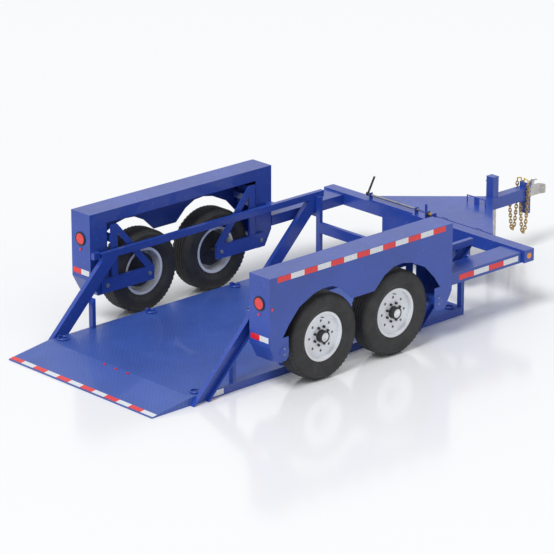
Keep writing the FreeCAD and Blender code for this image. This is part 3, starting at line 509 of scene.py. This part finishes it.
def tyre(name):
    low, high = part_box("tyre_" + name)
    centre = middle("tyre_" + name)
    radius = (high[2] - low[2]) / 2 - INSIDE_CAD
    half = (high[1] - low[1]) / 2 - INSIDE_CAD
    side = [(BEAD_RADIUS, BEAD_HALF), (0.232, 0.092), (0.240, 0.0945), (0.243, 0.0985),
            (0.262, 0.108), (0.280, half), (0.284, half), (0.286, half - 0.0015),
            (0.309, half - 0.002), (0.335, half - 0.006), (0.338, half - 0.004),
            (0.345, half - 0.006), (radius - 0.022, half - 0.018), (radius - 0.006, half - 0.034)]
    outer = [(r, -y) for r, y in side] + tread_profile(radius) + [(r, y) for r, y in reversed(side)]
    inner = [(BEAD_RADIUS, BEAD_HALF - BEAD_THICKNESS),
             (SIDEWALL_INNER_RADIUS, half - SIDEWALL_THICKNESS),
             (radius - CROWN_THICKNESS, half - CROWN_CORNER),
             (radius - CROWN_THICKNESS, -half + CROWN_CORNER),
             (SIDEWALL_INNER_RADIUS, -half + SIDEWALL_THICKNESS),
             (BEAD_RADIUS, -BEAD_HALF + BEAD_THICKNESS)]
    bm = bmesh.new()
    add_turned(bm, outer + inner, centre, TYRE_STEPS)
    for index in range(SHOULDER_BLOCKS):
        for side_sign in (-1, 1):
            angle = 2 * math.pi * (index + 0.25 * side_sign) / SHOULDER_BLOCKS
            spun = Matrix.Rotation(angle, 4, "Y")
            turn = spun @ Matrix.Rotation(math.radians(SHOULDER_BLOCK_TURN * side_sign), 4, "Z")
            out = spun @ Vector((radius - SHOULDER_SINK, side_sign * (half - SHOULDER_INSET), 0))
            place = centre + out
            size = Vector(SHOULDER_BLOCK_SIZE) / 2
            add_box(bm, place - size, place + size, SHOULDER_BLOCK_BEVEL, turn)
    made = piece("tyre_tread_" + name, bm, tyre_rubber, "wheel_" + name, smooth=True)
    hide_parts("tyre_" + name)


def hub_cap(name):
    """A pressed dome over the bearing, and a valve stem by the rim."""
    low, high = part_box("hub_" + name)
    centre = middle("hub_" + name)
    sign = side_of(name)
    face = (high[1] if sign > 0 else low[1]) - centre.y
    bm = bmesh.new()
    add_turned(bm, [(r, face + sign * y) for r, y in HUB_DOME], centre, 48)
    piece("hub_cap_" + name, bm, chrome, "wheel_" + name, smooth=True)
    bm = bmesh.new()
    start = centre + Vector((0, face - sign * VALVE_SINK, VALVE_OFFSET))
    end = start + Vector((0, sign * VALVE_LENGTH, VALVE_LEAN))
    add_rod(bm, start, end, VALVE_RADIUS, 12, 0.001)
    piece("valve_" + name, bm, grip_plastic, "wheel_" + name)


def arm_bolts(name):
    """Bolts at the arm's pivot and axle, on its inner face."""
    sign = side_of(name)
    arm_low, arm_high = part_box("swing_arm_" + name)
    inner = arm_low[1] if sign > 0 else arm_high[1]
    bm = bmesh.new()
    for point in (arm_pivot(name), middle("tyre_" + name)):
        add_bolt(bm, (point.x, inner, point.z), (0, -sign, 0), ARM_BOLT)
    piece("arm_bolts_" + name, bm, bare_steel, "swing_arm_body_" + name)


for wheel in WHEELS:
    tyre(wheel)
    hub_cap(wheel)
    arm_bolts(wheel)


# ---------------------------------------------------------------- pivot covers on the wheel boxes
def pivot_covers():
    bm = bmesh.new()
    bolts = bmesh.new()
    for name in WHEELS:
        sign = side_of(name)
        low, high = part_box("wheel_box_left" if sign > 0 else "wheel_box_right")
        face = high[1] if sign > 0 else low[1]
        cover = face + sign * PIVOT_COVER_THICKNESS
        pivot = arm_pivot(name)
        add_rod(bm, (pivot.x, face, pivot.z), (pivot.x, cover, pivot.z),
                PIVOT_COVER_RADIUS, 48, 0.001)
        for offset in (-PIVOT_COVER_BOLT_OFFSET, PIVOT_COVER_BOLT_OFFSET):
            add_bolt(bolts, (pivot.x, cover, pivot.z + offset), (0, sign, 0), PIVOT_COVER_BOLT)
    piece("pivot_covers", bm, frame_paint, "chassis", smooth=True)
    piece("pivot_cover_bolts", bolts, bare_steel, "chassis")


pivot_covers()


# ---------------------------------------------------------------- reflective tape
def striped(name, boxes):
    """Boxes in turn red and white, as two pieces."""
    for offset, tint, material, slot in ((0, "red", red_tape, "red_lens"),
                                         (1, "white", white_tape, "rim_paint")):
        bm = bmesh.new()
        for low, high, turn in boxes[offset::2]:
            add_box(bm, low, high, TAPE_BEVEL, turn)
        piece(name + "_" + tint, bm, material, "chassis")


def wheel_box_tape(side, sign):
    low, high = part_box("wheel_box_" + side)
    near, far = tape_layer(low, high, sign)
    start, end = low[0] + BOX_TAPE_REAR_GAP, high[0] - BOX_TAPE_FRONT_GAP
    step = (end - start) / BOX_TAPE_SEGMENTS
    top = high[2] - BOX_TAPE_DROP
    boxes = [((start + i * step, near, top - TAPE_WIDTH), (start + (i + 1) * step, far, top), None)
             for i in range(BOX_TAPE_SEGMENTS)]
    striped("box_tape_" + side, boxes)
    middle_y = (low[1] + high[1]) / 2
    bottom = low[2] + REAR_TAPE_RISE
    halves = [sorted((middle_y, middle_y + way * REAR_TAPE_HALF)) for way in (1, -1)]
    rear = [((low[0] - TAPE_THICKNESS, y0, bottom), (low[0], y1, bottom + TAPE_WIDTH), None)
            for y0, y1 in halves]
    striped("rear_tape_" + side, rear)


def side_rail_tape(sign, side):
    low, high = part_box("side_rails")
    near, far = tape_layer(low, high, sign)
    start = low[0] + RAIL_TAPE_START
    step = RAIL_TAPE_STEP
    z0 = (low[2] + high[2]) / 2 - TAPE_WIDTH / 2
    boxes = [((start + i * step, near, z0), (start + (i + 1) * step, far, z0 + TAPE_WIDTH), None)
             for i in range(RAIL_TAPE_SEGMENTS)]
    striped("side_rail_tape_" + side, boxes)


def sill_tape(sign, side):
    """A short run of tape on the sill, in front of the rear brace's foot."""
    low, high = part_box("side_sills")
    near, far = tape_layer(low, high, sign)
    start = low[0] + SILL_TAPE_START
    top = high[2] - SILL_TAPE_DROP
    red_end, white_end = start + SILL_TAPE_RED_END, start + SILL_TAPE_WHITE_END
    boxes = [((start, near, top - TAPE_WIDTH), (red_end, far, top), None),
             ((red_end, near, top - TAPE_WIDTH), (white_end, far, top), None)]
    striped("sill_tape_" + side, boxes)


def ramp_tape():
    low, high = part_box("ramp")
    slope = math.atan2(high[2] - RAMP_EDGE_HEIGHT, high[0] - low[0])
    turn = Matrix.Rotation(-slope, 4, "Y")
    centre_x = low[0] + RAMP_TAPE_INSET
    centre_z = RAMP_EDGE_HEIGHT + RAMP_TAPE_INSET * math.tan(slope) + TAPE_THICKNESS / 2
    step = (high[1] - low[1]) / RAMP_TAPE_SEGMENTS
    boxes = []
    for index in range(RAMP_TAPE_SEGMENTS):
        y1 = high[1] - index * step
        boxes.append(((centre_x - TAPE_WIDTH / 2, y1 - step, centre_z - TAPE_THICKNESS / 2),
                      (centre_x + TAPE_WIDTH / 2, y1, centre_z + TAPE_THICKNESS / 2), turn))
    striped("ramp_tape", boxes)


for side, sign in (("left", 1), ("right", -1)):
    wheel_box_tape(side, sign)
    side_rail_tape(sign, side)
    sill_tape(sign, side)
ramp_tape()


# ---------------------------------------------------------------- lamps
def lamp_surrounds():
    """Rubber grommets round the two tail lamps."""
    bm = bmesh.new()
    low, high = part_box("tail_lamps")
    height = (low[2] + high[2]) / 2
    radius = (high[2] - low[2]) / 2
    reach = (high[1] + low[1]) / 2
    for y in (high[1] - radius, low[1] + radius):
        verts = [bm.verts.new((high[0] + x, y + reach, height + radius + out))
                 for out, x in LAMP_SURROUND]
        edges = [bm.edges.new((verts[i], verts[(i + 1) % len(verts)])) for i in range(len(verts))]
        bmesh.ops.spin(bm, geom=verts + edges, cent=(high[0], y + reach, height), axis=(1, 0, 0),
                       angle=2 * math.pi, steps=LAMP_SURROUND_STEPS, use_merge=True)
    piece("tail_lamp_surrounds", bm, grip_plastic, "chassis", smooth=True)


lamp_surrounds()


# ---------------------------------------------------------------- latch, coupler and jack details
def latch_details():
    low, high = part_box("latch_brackets")
    base = low[2]
    x = (low[0] + high[0]) / 2
    right, left = CATCH_ROLLER_ENDS
    height = base + CATCH_ROLLER_RISE
    bm = bmesh.new()
    add_rod(bm, (x, right, height), (x, left, height), CATCH_ROLLER_RADIUS, 32, 0.002)
    piece("catch_roller", bm, brass, "chassis", smooth=True)
    bm = bmesh.new()
    add_box(bm, (x - 0.045, 0.14, base), (x - 0.037, 0.70, base + 0.010), 0.001)
    add_box(bm, (x - 0.006, -0.012, base), (x + 0.006, 0.012, base + 0.120), 0.002)
    piece("catch_bar", bm, frame_paint, "chassis")


def coupler_lever():
    front, _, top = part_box("coupler")[1]
    bm = bmesh.new()
    add_box(bm, (front - 0.190, -0.016, top), (front - 0.150, 0.016, top + 0.030), 0.003)
    add_box(bm, (front - 0.200, -0.012, top + 0.024), (front - 0.105, 0.012, top + 0.032), 0.003)
    piece("coupler_lever", bm, zinc_steel, "tongue")
    bm = bmesh.new()
    add_rod(bm, (front - 0.171, 0, top + 0.030), (front - 0.171, 0, top + 0.042), 0.008, 6, 0.001)
    piece("coupler_bolt", bm, bare_steel, "tongue")


def channel_bolts():
    """The two cross bolts that hold the coupler in its channel."""
    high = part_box("coupler_channel")[1]
    x = high[0] - COUPLER_BOLT_BACK
    bm = bmesh.new()
    for height in COUPLER_BOLT_HEIGHTS:
        for sign in (-1, 1):
            add_bolt(bm, (x, sign * high[1], height), (0, sign, 0), COUPLER_BOLT)
    piece("channel_bolts", bm, bare_steel, "tongue")


def jack_cap():
    """A cap on the jack's tube, and the end of its crank shaft."""
    low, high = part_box("jack_tube")
    lip = JACK_CAP_LIP
    bm = bmesh.new()
    add_box(bm, (low[0] - lip, low[1] - lip, high[2] + JACK_CAP_GAP),
            (high[0] + lip, high[1] + lip, high[2] + JACK_CAP_RISE), 0.002)
    shaft_x, shaft_z = (low[0] + high[0]) / 2, high[2] - JACK_SHAFT_DROP
    add_rod(bm, (shaft_x, high[1], shaft_z), (shaft_x, high[1] + JACK_SHAFT_LENGTH, shaft_z),
            JACK_SHAFT_RADIUS, 24, 0.002)
    piece("jack_cap", bm, frame_paint, "tongue")


def chain_points():
    """The chain's line in X and Z, from the tube's side down and up to the channel's top."""
    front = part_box("coupler_channel")[0][0] - 2 * CHAIN_WIRE
    span, bottom = CHAIN_SPAN, CHAIN_BOTTOM
    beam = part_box("tongue_tube")[0][2]
    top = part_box("coupler_channel")[1][2]
    bend = CHAIN_BEND_SHARE * beam + (1 - CHAIN_BEND_SHARE) * bottom
    return [Vector((front + x, 0, z)) for x, z in (
        (-span, beam + 0.012), (-0.9 * span, bend), (-0.7 * span, bottom + 0.025), (-0.5 * span, bottom),
        (-0.3 * span, bottom + 0.025), (-0.1 * span, bend), (0, beam), (0, top))]


def along_chain(points, pitch):
    """Places and directions, one pitch apart, on a smooth line through the points."""
    fine = []
    padded = [points[0]] + points + [points[-1]]
    for a, b, c, d in zip(padded, padded[1:], padded[2:], padded[3:]):
        for step in range(CHAIN_LINE_STEPS):
            t = step / CHAIN_LINE_STEPS
            fine.append(0.5 * (2 * b + (c - a) * t + (2 * a - 5 * b + 4 * c - d) * t * t
                               + (3 * b - a - 3 * c + d) * t * t * t))
    places, carried = [], 0.0
    for before, after in zip(fine, fine[1:]):
        carried += (after - before).length
        if carried >= pitch:
            places.append((after, (after - before).normalized()))
            carried -= pitch
    return places


def add_link(bm, place, way, roll_angle):
    """One link: a turned ring, drawn out along the chain and rolled about it."""
    known = set(bm.verts)
    section = Matrix.Translation((LINK_RADIUS, 0, 0)) @ Matrix.Rotation(math.pi / 2, 4, "X")
    circle = bmesh.ops.create_circle(bm, segments=8, radius=LINK_WIRE, matrix=section)
    edges = {edge for vert in circle["verts"] for edge in vert.link_edges}
    bmesh.ops.spin(bm, geom=circle["verts"] + list(edges), cent=(0, 0, 0), axis=(0, 0, 1),
                   angle=2 * math.pi, steps=20, use_merge=True)
    made = [vert for vert in bm.verts if vert not in known]
    turn = way.to_track_quat("X", "Z").to_matrix().to_4x4()
    roll = Matrix.Rotation(roll_angle, 4, "X")
    stretch = Matrix.Diagonal((LINK_STRETCH, 1.0, 1.0, 1.0))
    bmesh.ops.transform(bm, matrix=Matrix.Translation(place) @ turn @ roll @ stretch, verts=made)


def safety_chains():
    """A hanging run of links on each side of the tongue, and a hook over the channel."""
    bm = bmesh.new()
    hooks = bmesh.new()
    points = chain_points()
    top = points[-1]
    for sign in (-1, 1):
        y = sign * (CHAIN_REACH + CHAIN_STAND_OFF)
        for index, (place, way) in enumerate(along_chain(points, LINK_PITCH)):
            add_link(bm, Vector((place.x, y, place.z)), way, math.pi / 4 + index * math.pi / 2)
        inner = sign * HOOK_INNER_REACH
        add_rod(hooks, (top.x, y, top.z - 0.01), (top.x, y, top.z + 0.035), HOOK_RADIUS, 16, 0.001)
        add_rod(hooks, (top.x, y, top.z + 0.030), (top.x, inner, top.z + 0.045),
                HOOK_RADIUS, 16, 0.001)
        add_rod(hooks, (top.x, inner, top.z + 0.045), (top.x, sign * 0.018, top.z + 0.008),
                HOOK_RADIUS, 16, 0.001)
    chains = piece("chain_links", bm, gold_zinc, "tongue", smooth=True)
    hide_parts("safety_chains")
    piece("chain_hooks", hooks, hook_paint, "tongue", smooth=True)


latch_details()
coupler_lever()
channel_bolts()
jack_cap()
safety_chains()


# ---------------------------------------------------------------- floor, light and camera
def floor():
    bm = bmesh.new()
    bmesh.ops.create_grid(bm, x_segments=1, y_segments=1, size=FLOOR_HALF)
    mesh = bpy.data.meshes.new("floor")
    bm.to_mesh(mesh)
    bm.free()
    made = bpy.data.objects.new("floor", mesh)
    made.location.z = -FLOOR_DROP
    bpy.context.scene.collection.objects.link(made)
    shade = Shading("floor")
    shade.shader.inputs["Base Color"].default_value = (*COLOURS["floor"], 1.0)
    shade.shader.inputs["Roughness"].default_value = 0.14
    shade.shader.inputs["Specular IOR Level"].default_value = 0.5
    mesh.materials.append(shade.material)


def world():
    """A plain pale studio, white where the camera, gloss or glass sees it."""
    surroundings = bpy.data.worlds.new("studio")
    bpy.context.scene.world = surroundings
    surroundings.use_nodes = True
    tree = surroundings.node_tree
    soft = tree.nodes["Background"]
    soft.inputs["Color"].default_value = SKY_COLOUR
    soft.inputs["Strength"].default_value = SKY_STRENGTH
    plain = tree.nodes.new("ShaderNodeBackground")
    plain.inputs["Strength"].default_value = 1.0
    rays = tree.nodes.new("ShaderNodeLightPath")
    seen = rays.outputs["Is Camera Ray"]
    for kind in ("Is Glossy Ray", "Is Transmission Ray"):
        both = tree.nodes.new("ShaderNodeMath")
        both.operation = "MAXIMUM"
        tree.links.new(seen, both.inputs[0])
        tree.links.new(rays.outputs[kind], both.inputs[1])
        seen = both.outputs[0]
    mixed = tree.nodes.new("ShaderNodeMixShader")
    tree.links.new(seen, mixed.inputs[0])
    tree.links.new(soft.outputs[0], mixed.inputs[1])
    tree.links.new(plain.outputs[0], mixed.inputs[2])
    tree.links.new(mixed.outputs[0], tree.nodes["World Output"].inputs["Surface"])


def sun(name, strength, turn, softness):
    lamp = bpy.data.lights.new(name, "SUN")
    lamp.energy = strength
    lamp.angle = math.radians(softness)
    made = bpy.data.objects.new(name, lamp)
    made.rotation_euler = tuple(math.radians(part) for part in turn)
    bpy.context.scene.collection.objects.link(made)


def camera():
    lens_data = bpy.data.cameras.new("camera")
    lens_data.sensor_width = CAMERA_SENSOR
    lens_data.lens = CAMERA_LENS
    lens_data.clip_end = CAMERA_REACH
    made = bpy.data.objects.new("camera", lens_data)
    made.location = CAMERA_PLACE
    made.rotation_euler = (math.radians(CAMERA_TILT), 0.0, math.radians(CAMERA_TURN))
    bpy.context.scene.collection.objects.link(made)
    bpy.context.scene.camera = made


floor()
world()
sun("key", SUN_STRENGTH, SUN_TURN, SUN_SOFTNESS)
camera()
bpy.context.scene.view_settings.view_transform = "Standard"
